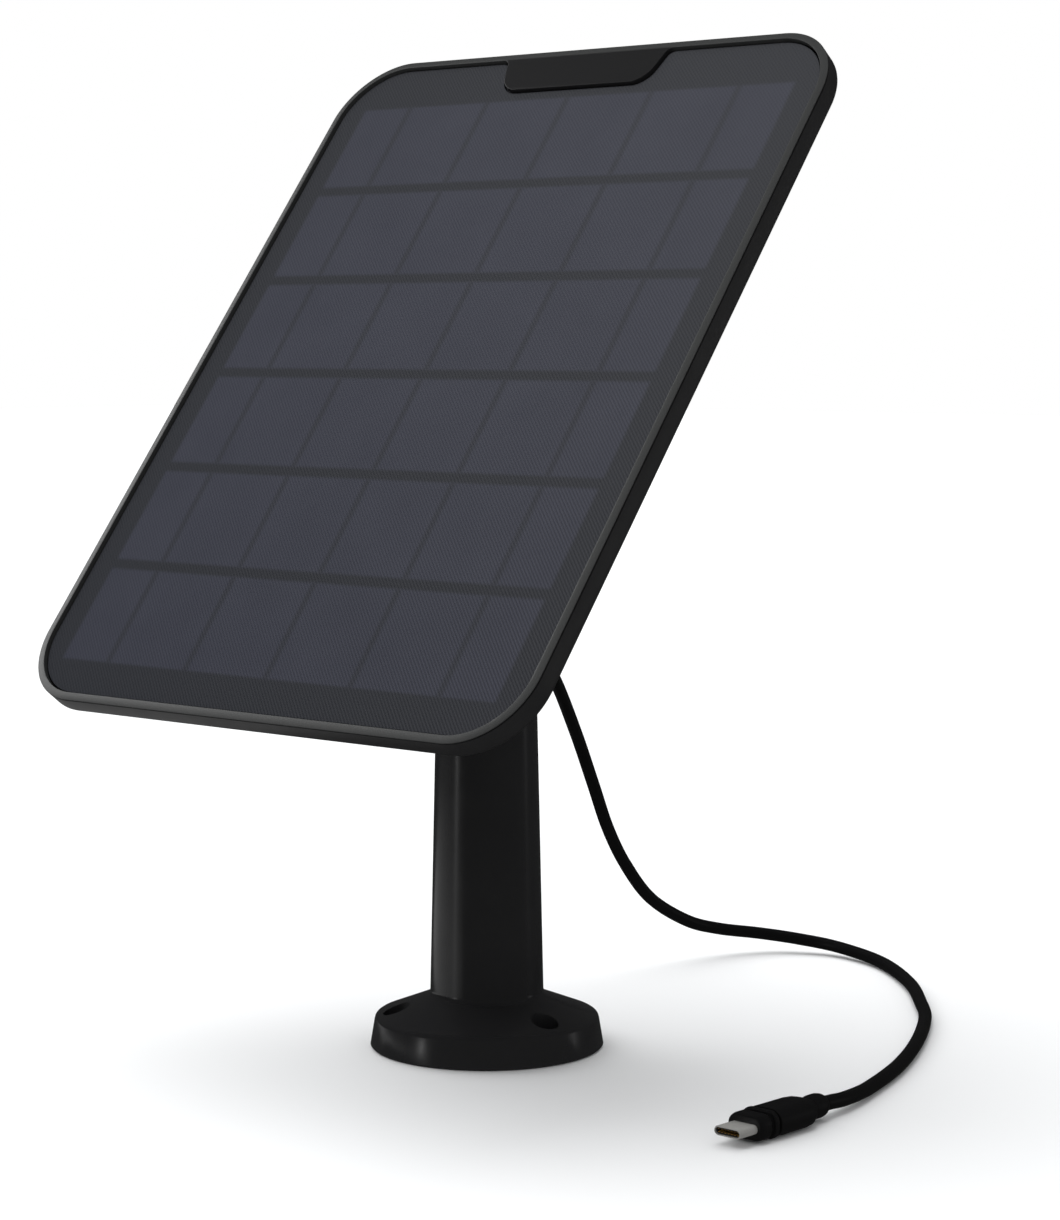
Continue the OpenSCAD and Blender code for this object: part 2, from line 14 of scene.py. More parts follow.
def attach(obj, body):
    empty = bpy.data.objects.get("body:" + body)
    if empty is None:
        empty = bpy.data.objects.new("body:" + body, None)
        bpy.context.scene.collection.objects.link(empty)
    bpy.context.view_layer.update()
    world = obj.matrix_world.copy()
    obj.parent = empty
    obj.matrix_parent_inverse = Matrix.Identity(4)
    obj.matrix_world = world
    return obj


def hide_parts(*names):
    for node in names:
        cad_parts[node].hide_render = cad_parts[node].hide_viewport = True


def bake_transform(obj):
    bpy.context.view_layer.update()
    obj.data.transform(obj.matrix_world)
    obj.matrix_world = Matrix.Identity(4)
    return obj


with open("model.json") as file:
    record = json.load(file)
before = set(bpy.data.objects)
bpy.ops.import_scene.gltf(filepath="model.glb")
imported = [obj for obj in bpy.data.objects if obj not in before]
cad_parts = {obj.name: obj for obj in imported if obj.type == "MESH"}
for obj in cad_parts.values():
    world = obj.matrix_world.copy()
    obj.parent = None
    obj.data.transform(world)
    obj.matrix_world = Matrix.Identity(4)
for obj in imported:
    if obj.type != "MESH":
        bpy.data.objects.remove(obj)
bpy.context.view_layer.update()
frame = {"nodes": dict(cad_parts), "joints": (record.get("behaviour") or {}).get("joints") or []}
bpy.ops.object.select_all(action="DESELECT")
MM = 0.001


# ---------------------------------------------------------------- camera
# The camera stands to the right of the part's front, a little above the middle of the panel,
# and looks slightly down.
view_camera = bpy.data.objects.new("view_camera", bpy.data.cameras.new("view_camera"))
bpy.context.scene.collection.objects.link(view_camera)
view_camera.location = (0.5482, -0.6167, 0.1937)
view_camera.rotation_euler = (math.radians(90 - 5.094), 0, math.radians(40.81))
view_camera.data.sensor_width = 36
view_camera.data.lens = 89.67
bpy.context.scene.camera = view_camera


# ---------------------------------------------------------------- lead
# The lead is a round two-core cable in a black TPU jacket, extruded and slightly satin.
# It leaves the gland on the panel's back, hangs behind the post and lies on the floor.
LEAD_RADIUS = 1.9 * MM
LEAD_ROUTE = [
    (-34.5, -13.7, 163.1), (-34.5, -2, 153.9), (-34.2, 10, 144.4), (-33.2, 26, 131.2),
    (-31.3, 40, 118.5), (-29, 51, 106.8), (-26.8, 59.5, 95.3), (-26.2, 69, 78),
    (-26.8, 78, 61.3), (-27.6, 86, 46.8), (-27.9, 95, 34.3), (-28.4, 108, 22),
    (-27, 124, 13), (-24.5, 137, 8.8), (-18, 150, 6.2), (-8.5, 157.5, 4.5), (5, 161, 3),
    (26, 154, 2.1), (49, 135, 2), (67, 114, 2), (79, 98, 2), (93, 73, 2), (105, 46, 2),
    (113.2, 20, 2.2), (116.6, 5, 2.95), (117.05, -1.8, 3.45), (116.9, -5.8, 3.6)]
LEAD_STEPS = 8
HEAD_KNOT, POST_KNOT = 4, 10


def smooth_line(knots, steps):
    """Points on a smooth curve through the knots."""
    p = [Vector(k) for k in knots]
    line = []
    for i in range(len(p) - 1):
        a, b, c, d = p[max(i - 1, 0)], p[i], p[i + 1], p[min(i + 2, len(p) - 1)]
        for k in range(steps):
            t = k / steps
            line.append(0.5 * (2 * b + (c - a) * t + (2 * a - 5 * b + 4 * c - d) * t * t
                               + (3 * b - a - 3 * c + d) * t ** 3))
    return line + [p[-1]]


def only(obj):
    """Selects obj and nothing else."""
    bpy.ops.object.select_all(action="DESELECT")
    obj.select_set(True)
    bpy.context.view_layer.objects.active = obj


def round_tube(name, centres, radius):
    """A closed round tube along a line."""
    curve = bpy.data.curves.new(name, "CURVE")
    curve.dimensions, curve.use_fill_caps = "3D", True
    curve.bevel_depth, curve.bevel_resolution = radius, 5
    spline = curve.splines.new("POLY")
    spline.points.add(len(centres) - 1)
    for point, centre in zip(spline.points, centres):
        point.co = (*centre, 1)
    tube = bpy.data.objects.new(name, curve)
    bpy.context.scene.collection.objects.link(tube)
    only(tube)
    bpy.ops.object.convert(target="MESH")
    bpy.ops.object.shade_smooth_by_angle(angle=math.radians(40))
    return tube


def linear(code):
    """A linear colour from an sRGB hex code."""
    parts = [int(code[i:i + 2], 16) / 255 for i in (1, 3, 5)]
    return (*(c / 12.92 if c <= 0.04045 else ((c + 0.055) / 1.055) ** 2.4 for c in parts), 1)


def add_node(material, kind, values=None, **settings):
    """Adds a node. Each value goes to the input of that name or number: a socket is linked."""
    node = material.node_tree.nodes.new(kind)
    for key, value in settings.items():
        setattr(node, key, value)
    for key, value in (values or {}).items():
        if isinstance(value, bpy.types.NodeSocket):
            material.node_tree.links.new(value, node.inputs[key])
        else:
            node.inputs[key].default_value = value
    return node


def new_material(name, roughness, metallic=0.0, ior=1.5, coat=0.0, coat_roughness=0.1):
    """A material and its shader. What is the same all over is set on the shader itself."""
    material = bpy.data.materials.new(name)
    material.use_nodes = True
    shader = material.node_tree.nodes["Principled BSDF"]
    for key, value in (("Roughness", roughness), ("Metallic", metallic), ("IOR", ior),
                       ("Coat Weight", coat), ("Coat Roughness", coat_roughness)):
        shader.inputs[key].default_value = value
    return material, shader


def link(material, socket, target, name):
    material.node_tree.links.new(socket, target.inputs[name])


def moulded(name, dark, light, roughness, spread, grain, depth, cloud=14, ior=1.5):
    """Moulded plastic or rubber: a clouded colour, uneven gloss and a spark-eroded grain.
    Grain is the size of its bumps and depth their height."""
    material, shader = new_material(name, roughness, ior=ior)
    place = add_node(material, "ShaderNodeTexCoord").outputs["Object"]
    clouds = add_node(material, "ShaderNodeTexNoise",
                      {"Vector": place, "Scale": 1 / (cloud * MM), "Detail": 4.0, "Roughness": 0.6})
    colour = add_node(material, "ShaderNodeMix",
                      {0: clouds.outputs[0], 6: linear(dark), 7: linear(light)},
                      data_type="RGBA")
    link(material, colour.outputs[2], shader, "Base Color")
    fine = add_node(material, "ShaderNodeTexNoise",
                    {"Vector": place, "Scale": 1 / grain, "Detail": 2.0, "Roughness": 0.5})
    gloss = add_node(material, "ShaderNodeMapRange",
                     {0: clouds.outputs[0], 1: 0.3, 2: 0.7, 3: roughness - spread,
                      4: roughness + spread})
    link(material, gloss.outputs[0], shader, "Roughness")
    bump = add_node(material, "ShaderNodeBump",
                    {"Height": fine.outputs[0], "Distance": depth, "Strength": 1.0})
    link(material, bump.outputs[0], shader, "Normal")
    return material


def dress(obj, material):
    """Gives a piece its one material."""
    obj.data.materials.clear()
    obj.data.materials.append(material)


# Black TPU: near black, soft satin, with the faint orange peel of an extruded jacket
jacket = moulded("extruded_tpu_jacket", "#0b0b0c", "#121213", 0.4, 0.05, 1.1 * MM, 0.012 * MM)

lead_line = [p * MM for p in smooth_line(LEAD_ROUTE, LEAD_STEPS)]
head_cut, post_cut = HEAD_KNOT * LEAD_STEPS, POST_KNOT * LEAD_STEPS
lead_parts = {
    "lead_at_panel": lead_line[:head_cut + 1],
    "lead_behind_post": lead_line[head_cut:post_cut + 1],
    "lead_on_floor": lead_line[post_cut:],
}
lead_tubes = {name: round_tube(name, line, LEAD_RADIUS) for name, line in lead_parts.items()}
for tube in lead_tubes.values():
    dress(tube, jacket)
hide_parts("lead_tube")
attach(lead_tubes["lead_on_floor"], "root")


# ---------------------------------------------------------------- plug
# The plug is a USB-C connector moulded over in black TPE: a tapered relief, a grip with
# rounded edges, two grooves, a nose, and a nickel-plated steel shell with its contact liner.
PLUG_START = Vector((116.9, -5.8, 3.6)) * MM
PLUG_TURN = math.radians(-92)
PLUG_PLACE = Matrix.Translation(PLUG_START) @ Matrix.Rotation(PLUG_TURN, 4, "Z")
RELIEF_END, GRIP_END, COLLAR_END, NOSE_END, SHELL_END = (
    x * MM for x in (6.5, 23.0, 26.6, 30.8, 37.4))


def pick(mesh_edit, kind, test):
    """Selects the vertices, edges or faces that the test accepts, by their middle and normal."""
    for group in (mesh_edit.verts, mesh_edit.edges, mesh_edit.faces):
        for element in group:
            element.select = False
    for element in getattr(mesh_edit, kind):
        if kind == "verts":
            middle, normal = element.co, element.normal
        elif kind == "edges":
            ends = [v.co for v in element.verts]
            middle, normal = (ends[0] + ends[1]) / 2, (ends[1] - ends[0]).normalized()
        else:
            middle, normal = element.calc_center_median(), element.normal
        if test(middle, normal):
            element.select_set(True)
    mesh_edit.select_flush_mode()


def edit(obj, kind, test, *steps):
    """Runs edit-mode operators in turn on what the test picks."""
    only(obj)
    bpy.ops.object.mode_set(mode="EDIT")
    bpy.ops.mesh.select_mode(type={"verts": "VERT", "edges": "EDGE", "faces": "FACE"}[kind])
    mesh_edit = bmesh.from_edit_mesh(obj.data)
    mesh_edit.normal_update()
    pick(mesh_edit, kind, test)
    bmesh.update_edit_mesh(obj.data)
    for operator, settings in steps:
        operator(**settings)
    bpy.ops.object.mode_set(mode="OBJECT")


def everything(middle, normal):
    return True


def apply_all(obj):
    """Applies the object's place and its modifiers."""
    only(obj)
    bpy.ops.object.transform_apply(location=True, rotation=True, scale=True)
    for modifier in list(obj.modifiers):
        bpy.ops.object.modifier_apply(modifier=modifier.name)


def rounded_bar(name, stations, corner_steps=8):
    """A bar along X with rounded corners. Each station is (x, width, height, corner radius)."""
    bpy.ops.mesh.primitive_plane_add(size=2, rotation=(0, math.pi / 2, 0))
    bar = bpy.context.object
    bar.name = bar.data.name = name
    x, width, height, radius = stations[0]
    bar.scale = (height / 2, width / 2, 1)
    bar.location.x = x
    apply_all(bar)
    edit(bar, "verts", everything,
         (bpy.ops.mesh.bevel, {"affect": "VERTICES", "offset": radius, "segments": corner_steps}))
    for (x0, w0, h0, _), (x1, w1, h1, _) in zip(stations, stations[1:]):
        edit(bar, "faces", lambda m, n: abs(m.x - x0) < 1e-7 and math.hypot(m.y, m.z) < 1e-6,
             (bpy.ops.mesh.extrude_region_move,
              {"TRANSFORM_OT_translate": {"value": (x1 - x0, 0, 0)}}),
             (bpy.ops.transform.resize, {"value": (1, w1 / w0, h1 / h0),
                                         "center_override": (x1, 0, 0)}))
    edit(bar, "faces", everything, (bpy.ops.mesh.normals_make_consistent, {"inside": False}))
    return bar


def finish_piece(obj, place, body, material, replaced=(), angle=35):
    """Moves a piece to its place, smooths it, dresses it and hangs it on its body."""
    obj.data.transform(place)
    only(obj)
    bpy.ops.object.shade_smooth_by_angle(angle=math.radians(angle))
    dress(obj, material)
    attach(obj, body)
    if replaced:
        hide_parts(*replaced)
    return obj


def soften(obj, width, segments=3, angle=40):
    """Rounds every edge sharper than the angle."""
    bevel = obj.modifiers.new("rounding", "BEVEL")
    bevel.width, bevel.segments = width, segments
    bevel.limit_method, bevel.angle_limit = "ANGLE", math.radians(angle)
    bevel.harden_normals = False
    apply_all(obj)


# TPE overmould: black rubbery plastic, moulded in a finely eroded tool, so it is matte satin
overmould = moulded("moulded_tpe", "#0d0d0e", "#161617", 0.46, 0.06, 0.35 * MM, 0.012 * MM)

relief = rounded_bar("plug_strain_relief", [
    (-0.3 * MM, 4.0 * MM, 4.0 * MM, 1.99 * MM), (0.1 * MM, 5.1 * MM, 5.0 * MM, 0),
    (0.9 * MM, 6.0 * MM, 5.8 * MM, 0), (2.2 * MM, 6.5 * MM, 6.3 * MM, 0),
    (4.6 * MM, 6.5 * MM, 6.3 * MM, 0), (6.2 * MM, 6.1 * MM, 5.7 * MM, 0),
    (RELIEF_END + 0.4 * MM, 5.8 * MM, 5.2 * MM, 0)])
soften(relief, 0.25 * MM)
finish_piece(relief, PLUG_PLACE, "root", overmould, ["plug_relief"])

grip = rounded_bar("plug_grip", [
    (RELIEF_END - 0.2 * MM, 6.3 * MM, 4.6 * MM, 2.1 * MM),
    (RELIEF_END + 0.6 * MM, 8.4 * MM, 5.8 * MM, 0),
    (RELIEF_END + 2.6 * MM, 10.4 * MM, 6.8 * MM, 0),
    (RELIEF_END + 5.0 * MM, 11.2 * MM, 7.1 * MM, 0),
    (GRIP_END, 11.2 * MM, 7.1 * MM, 0)])
soften(grip, 0.55 * MM, 4)
finish_piece(grip, PLUG_PLACE, "root", overmould, ["plug_body"])

collar = rounded_bar("plug_collar_and_nose", [
    (GRIP_END - 0.8 * MM, 9.2 * MM, 5.2 * MM, 2.2 * MM),
    (GRIP_END + 0.7 * MM, 9.2 * MM, 5.2 * MM, 0),
    (GRIP_END + 0.7 * MM, 11.1 * MM, 7.0 * MM, 0), (GRIP_END + 2.2 * MM, 11.1 * MM, 7.0 * MM, 0),
    (GRIP_END + 2.2 * MM, 8.9 * MM, 4.9 * MM, 0), (COLLAR_END, 8.9 * MM, 4.9 * MM, 0),
    (COLLAR_END, 10.8 * MM, 6.4 * MM, 0), (NOSE_END - 1.2 * MM, 10.7 * MM, 6.3 * MM, 0),
    (NOSE_END, 10.2 * MM, 5.8 * MM, 0)])
soften(collar, 0.4 * MM, 4)
finish_piece(collar, PLUG_PLACE, "root", overmould, ["plug_collar"])

# Nickel plate over drawn steel: bright, a little yellow, with fine rubbing marks along the shell
nickel, shader = new_material("nickel_plated_steel", 0.2, metallic=0.6)
place = add_node(nickel, "ShaderNodeTexCoord").outputs["Object"]
stretched = add_node(nickel, "ShaderNodeMapping",
                     {"Vector": place, "Rotation": (0, 0, -PLUG_TURN), "Scale": (0.15, 1, 1)})
rubbing = add_node(nickel, "ShaderNodeTexNoise",
                   {"Vector": stretched.outputs[0], "Scale": 1 / (0.25 * MM), "Detail": 3.0})
tone = add_node(nickel, "ShaderNodeMix",
                {0: rubbing.outputs[0], 6: linear("#d2d1cd"),
                 7: linear("#f0efeb")}, data_type="RGBA")
link(nickel, tone.outputs[2], shader, "Base Color")
gloss = add_node(nickel, "ShaderNodeMapRange", {0: rubbing.outputs[0], 3: 0.1, 4: 0.26})
link(nickel, gloss.outputs[0], shader, "Roughness")

shell = rounded_bar("plug_shell", [
    (NOSE_END - 1 * MM, 8.24 * MM, 2.4 * MM, 1.19 * MM),
    (SHELL_END - 0.25 * MM, 8.24 * MM, 2.4 * MM, 0),
    (SHELL_END, 8.0 * MM, 2.16 * MM, 0), (SHELL_END, 7.6 * MM, 1.78 * MM, 0),
    (NOSE_END + 0.5 * MM, 7.6 * MM, 1.78 * MM, 0)], corner_steps=12)
finish_piece(shell, PLUG_PLACE, "root", nickel, ["usb_shell"], angle=50)

# The liner is black glass-filled nylon with two rows of gold contacts
liner, shader = new_material("black_contact_liner", 0.35)
place = add_node(liner, "ShaderNodeTexCoord").outputs["Object"]
turned = add_node(liner, "ShaderNodeMapping", {
    "Vector": place, "Location": PLUG_START, "Rotation": (0, 0, PLUG_TURN)}, vector_type="TEXTURE")
split = add_node(liner, "ShaderNodeSeparateXYZ", {0: turned.outputs[0]})
pitch = add_node(liner, "ShaderNodeMath", {0: split.outputs[1], 1: 0.5 * MM}, operation="PINGPONG")
is_pin = add_node(liner, "ShaderNodeMath", {0: pitch.outputs[0], 1: 0.17 * MM},
                  operation="LESS_THAN")
above = add_node(liner, "ShaderNodeMath", {0: split.outputs[2]}, operation="ABSOLUTE")
in_slot = add_node(liner, "ShaderNodeMath", {0: above.outputs[0], 1: 0.45 * MM},
                   operation="LESS_THAN")
pins = add_node(liner, "ShaderNodeMath", {0: is_pin.outputs[0], 1: in_slot.outputs[0]},
                operation="MULTIPLY")
tone = add_node(liner, "ShaderNodeMix",
                {0: pins.outputs[0], 6: linear("#101011"), 7: linear("#b98f45")}, data_type="RGBA")
link(liner, tone.outputs[2], shader, "Base Color")
frame["nodes"]["usb_tongue"].data.materials.clear()
frame["nodes"]["usb_tongue"].data.materials.append(liner)

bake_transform(lead_tubes["lead_at_panel"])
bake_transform(lead_tubes["lead_behind_post"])


# ---------------------------------------------------------------- panel frame
# The frame is a slim ABS rim, moulded in one piece with the tab that hangs from its top bar.
# It is painted satin dark grey, the tab glossy black, and it snaps into the housing.
PANEL_W, PANEL_H, CORNER = 176 * MM, 222.6 * MM, 21 * MM
RIM_W, RIM_TOP, SEAM, GROOVE, GROOVE_DEPTH = 2.2 * MM, 1.0 * MM, 0.1 * MM, 0.4 * MM, 0.6 * MM
SLOPE_W, SLOPE_DROP, TAB_LOW = 1.5 * MM, 0.28 * MM, -0.7 * MM
TAB_HALF, TAB_DROP, TAB_CORNER, TAB_SLANT = 25.6 * MM, 13.8 * MM, 5 * MM, 3.4 * MM
TAB_ROOT = 1.8 * MM         # rounding where the tab's slanted ends meet the rim
REACH = 30 * MM             # from the tilt axis to the film's face

joints = {joint["name"]: joint for joint in frame["joints"]}
normal = Vector(joints["release_press"]["axis"]).normalized()
pivot = Vector(joints["tilt"]["pos_m"])
PANEL_TILT = math.atan2(-normal.y, normal.z)
PANEL_PLACE = Matrix.Translation(pivot + REACH * normal) @ Matrix.Rotation(PANEL_TILT, 4, "X")


def plate(name, corners, low, high):
    """A plate between two levels. Each corner is (x, y, rounding), going round anticlockwise."""
    bpy.ops.mesh.primitive_circle_add(vertices=len(corners), radius=1, fill_type="NGON")
    flat = bpy.context.object
    flat.name = flat.data.name = name
    for vertex, (x, y, _) in zip(flat.data.vertices, corners):
        vertex.co = (x, y, low)
    for x, y, rounding in corners:
        if rounding > 0:
            edit(flat, "verts", lambda m, n: abs(m.x - x) + abs(m.y - y) < 1e-7,
                 (bpy.ops.mesh.bevel, {"affect": "VERTICES", "offset": rounding,
                                       "segments": max(4, round(rounding / MM) + 4)}))
    edit(flat, "faces", everything,
         (bpy.ops.mesh.extrude_region_move,
          {"TRANSFORM_OT_translate": {"value": (0, 0, high - low)}}),
         (bpy.ops.mesh.select_all, {"action": "SELECT"}),
         (bpy.ops.mesh.normals_make_consistent, {"inside": False}))
    return flat


def box_corners(width, height, rounding, x=0, y=0):
    return [(x + sx * width / 2, y + sy * height / 2, rounding)
            for sx, sy in ((1, -1), (1, 1), (-1, 1), (-1, -1))]


def opening_corners(grow):
    """The frame's opening, with the tab's notch in its top edge. Grow shrinks the opening."""
    w, h = PANEL_W / 2 - RIM_W - grow, PANEL_H / 2 - RIM_W - grow
    low = PANEL_H / 2 - TAB_DROP - grow
    half, out = TAB_HALF + grow * 0.8, TAB_HALF + TAB_SLANT + grow * 0.8
    return [(w, -h, CORNER - RIM_W - grow), (w, h, CORNER - RIM_W - grow),
            (out, h, TAB_ROOT), (half, low, TAB_CORNER), (-half, low, TAB_CORNER),
            (-out, h, TAB_ROOT), (-w, h, CORNER - RIM_W - grow), (-w, -h, CORNER - RIM_W - grow)]


def combine(obj, others, operation):
    """Cuts the others out of obj, or joins them to it, and removes them."""
    for other in others:
        boolean = obj.modifiers.new(operation, "BOOLEAN")
        boolean.object, boolean.operation, boolean.solver = other, operation, "EXACT"
        apply_all(obj)
        bpy.data.objects.remove(other)
    return obj


def round_edges(obj, test, width, segments):
    edit(obj, "edges", test, (bpy.ops.mesh.bevel,
                              {"affect": "EDGES", "offset": width, "segments": segments}))


rim = plate("panel_frame", box_corners(PANEL_W, PANEL_H, CORNER), SEAM + GROOVE,
            RIM_TOP - SLOPE_DROP)
edit(rim, "faces", lambda m, n: m.z > RIM_TOP - SLOPE_DROP - 1e-6,
     (bpy.ops.mesh.inset, {"thickness": SLOPE_W, "depth": SLOPE_DROP, "use_even_offset": True}))
neck = plate("neck", box_corners(PANEL_W - 2 * GROOVE_DEPTH, PANEL_H - 2 * GROOVE_DEPTH,
                                 CORNER - GROOVE_DEPTH), TAB_LOW, SEAM + GROOVE + 0.1 * MM)
combine(rim, [neck], "UNION")
combine(rim, [plate("opening", opening_corners(0), TAB_LOW - MM, RIM_TOP + MM)], "DIFFERENCE")
soften(rim, 0.2 * MM, 3, angle=50)


def panel_coordinates(material):
    """Object coordinates turned to lie along the panel: X across, Y up the face, Z out of it."""
    place = add_node(material, "ShaderNodeTexCoord").outputs["Object"]
    turned = add_node(material, "ShaderNodeMapping",
                      {"Vector": place, "Location": PANEL_PLACE.translation,
                       "Rotation": (PANEL_TILT, 0, 0)}, vector_type="TEXTURE")
    return turned.outputs[0]


# Painted ABS: the rim is satin dark grey with a fine powdery grain, and the tab is smooth black
frame_paint, shader = new_material("painted_abs", 0.42, ior=1.49)
along = panel_coordinates(frame_paint)
split = add_node(frame_paint, "ShaderNodeSeparateXYZ", {0: along})
below_rim = add_node(frame_paint, "ShaderNodeMapRange",
                     {0: split.outputs[1], 1: PANEL_H / 2 - RIM_W + 0.5 * MM,
                      2: PANEL_H / 2 - RIM_W - 0.3 * MM}, interpolation_type="SMOOTHSTEP")
across = add_node(frame_paint, "ShaderNodeMath", {0: split.outputs[0]}, operation="ABSOLUTE")
near_tab = add_node(frame_paint, "ShaderNodeMapRange",
                    {0: across.outputs[0], 1: TAB_HALF + TAB_SLANT + 2 * MM,
                     2: TAB_HALF + TAB_SLANT}, interpolation_type="SMOOTHSTEP")
upper = add_node(frame_paint, "ShaderNodeMath", {0: split.outputs[1], 1: 0.0},
                 operation="GREATER_THAN")
tab_mask = add_node(frame_paint, "ShaderNodeMath",
                    {0: below_rim.outputs[0], 1: near_tab.outputs[0]},
                    operation="MULTIPLY")
tab_mask = add_node(frame_paint, "ShaderNodeMath", {0: tab_mask.outputs[0], 1: upper.outputs[0]},
                    operation="MULTIPLY")
speckle = add_node(frame_paint, "ShaderNodeTexNoise",
                   {"Vector": along, "Scale": 1 / (0.45 * MM), "Detail": 3.0, "Roughness": 0.65})
grey = add_node(frame_paint, "ShaderNodeMix",
                {0: speckle.outputs[0], 6: linear("#333434"),
                 7: linear("#3f4040")}, data_type="RGBA")
paint = add_node(frame_paint, "ShaderNodeMix",
                 {0: tab_mask.outputs[0], 6: grey.outputs[2],
                  7: linear("#202021")}, data_type="RGBA")
link(frame_paint, paint.outputs[2], shader, "Base Color")
sheen = add_node(frame_paint, "ShaderNodeMapRange", {0: tab_mask.outputs[0], 3: 0.42, 4: 0.3})
link(frame_paint, sheen.outputs[0], shader, "Roughness")
grain = add_node(frame_paint, "ShaderNodeBump",
                 {"Height": speckle.outputs[0], "Distance": 0.012 * MM, "Strength": 0.7})
link(frame_paint, grain.outputs[0], shader, "Normal")
finish_piece(rim, PANEL_PLACE, "panel", frame_paint, ["front_frame"], angle=15)


# ---------------------------------------------------------------- panel housing
# The housing is a shallow tray moulded in dark grey ABS with a fine matte texture.
# Its side wall meets the frame at a thin shadow line, and its back edge is well rounded.
SIDE_BACK, WALL, SIDE = -6.4 * MM, 1.6 * MM, 1.3 * MM
WINDOW_W, WINDOW_H, WINDOW_R = 76 * MM, 100 * MM, 6 * MM        # the opening to the charger's bay
housing = plate("panel_housing", box_corners(PANEL_W, PANEL_H, CORNER), SIDE_BACK, SEAM)
round_edges(housing, lambda m, n: m.z < SIDE_BACK + 1e-6, 2.2 * MM, 6)
round_edges(housing, lambda m, n: m.z > SEAM - 1e-6, 0.2 * MM, 2)
combine(housing, [
    plate("tray", box_corners(PANEL_W - 2 * SIDE, PANEL_H - 2 * SIDE, CORNER - SIDE),
          SIDE_BACK + WALL, MM),
    plate("window", box_corners(WINDOW_W, WINDOW_H, WINDOW_R), SIDE_BACK - MM, MM)], "DIFFERENCE")
housing_plastic = moulded("textured_abs", "#232324", "#2f2f30", 0.5, 0.05, 0.5 * MM, 0.03 * MM)
finish_piece(housing, PANEL_PLACE, "panel", housing_plastic, ["rear_housing"],
             angle=30)


# ---------------------------------------------------------------- cell film
# The front is a laminate: dark silicon strips under a matte embossed ETFE film.
# The film blurs the strips, so they show as soft bluish fields with darker gaps and ribbons.
FILM_GAP, FILM_T = 0.5 * MM, 0.6 * MM
STRIP_PITCH, STRIP_GAP, RIBBON_PITCH, RIBBON_W = 32.7 * MM, 3.2 * MM, 29.7 * MM, 2 * MM
FIELD_HALF, FIELD_DROP = 77.5 * MM, 2.15 * MM
EMBOSS = 0.82 * MM

film = plate("cell_film", opening_corners(FILM_GAP), -FILM_T, 0)
soften(film, 0.14 * MM, 2)

laminate, shader = new_material("embossed_etfe_laminate", 0.5, ior=1.4)
along = panel_coordinates(laminate)
split = add_node(laminate, "ShaderNodeSeparateXYZ", {0: along})


def soft_band(distance, half, blur):
    """1 within half of a line and 0 beyond it, softened over the blur."""
    return add_node(laminate, "ShaderNodeMapRange", {0: distance, 1: half + blur, 2: half - blur},
                    interpolation_type="SMOOTHSTEP").outputs[0]


def math_node(operation, first, second=0.0, **more):
    return add_node(laminate, "ShaderNodeMath", {0: first, 1: second}, operation=operation,
                    **more).outputs[0]


strip_y = math_node("ADD", split.outputs[1], FIELD_DROP + 100 * STRIP_PITCH)
gap_at = math_node("PINGPONG", strip_y, STRIP_PITCH / 2)
gaps = soft_band(gap_at, STRIP_GAP / 2, 0.7 * MM)
ribbon_at = math_node("PINGPONG", math_node("ADD", split.outputs[0], 100 * RIBBON_PITCH),
                      RIBBON_PITCH / 2)
ribbons = soft_band(ribbon_at, RIBBON_W / 2, 0.8 * MM)
from_side = math_node("ABSOLUTE", split.outputs[0])
from_middle = math_node("ABSOLUTE", math_node("ADD", split.outputs[1], FIELD_DROP))
in_width = soft_band(from_side, FIELD_HALF, 0.8 * MM)
in_height = soft_band(from_middle, 3 * STRIP_PITCH - STRIP_GAP / 2, 0.8 * MM)
in_field = math_node("MULTIPLY", in_width, in_height)
inner_ribbon = math_node("MULTIPLY", ribbons, soft_band(from_side, 2.5 * RIBBON_PITCH, 0.5 * MM))
lines = math_node("MAXIMUM", gaps, math_node("MULTIPLY", inner_ribbon, 0.62))
cells = math_node("MULTIPLY", in_field, math_node("SUBTRACT", 1.0, lines))
silicon = add_node(laminate, "ShaderNodeTexNoise",
                   {"Vector": along, "Scale": 1 / (24 * MM), "Detail": 3.0, "Roughness": 0.6})
cell_colour = add_node(laminate, "ShaderNodeMix",
                       {0: silicon.outputs[0], 6: linear("#31333f"),
                        7: linear("#3a3c48")}, data_type="RGBA")
film_colour = add_node(laminate, "ShaderNodeMix",
                       {0: cells, 6: linear("#2b2d33"),
                        7: cell_colour.outputs[2]}, data_type="RGBA")
# The emboss is rolled in at 45 degrees: strong ridges one way and weak ones the other way
ridge_turn = add_node(laminate, "ShaderNodeMapping",
                      {"Vector": along, "Rotation": (0, 0, math.radians(45))})
ridge = add_node(laminate, "ShaderNodeSeparateXYZ", {0: ridge_turn.outputs[0]})
strong = math_node("SINE", math_node("MULTIPLY", ridge.outputs[1], 2 * math.pi / EMBOSS))
weak = math_node("SINE", math_node("MULTIPLY", ridge.outputs[0], 2 * math.pi / (1.4 * EMBOSS)))
emboss = math_node("ADD", strong, math_node("MULTIPLY", weak, 0.35))
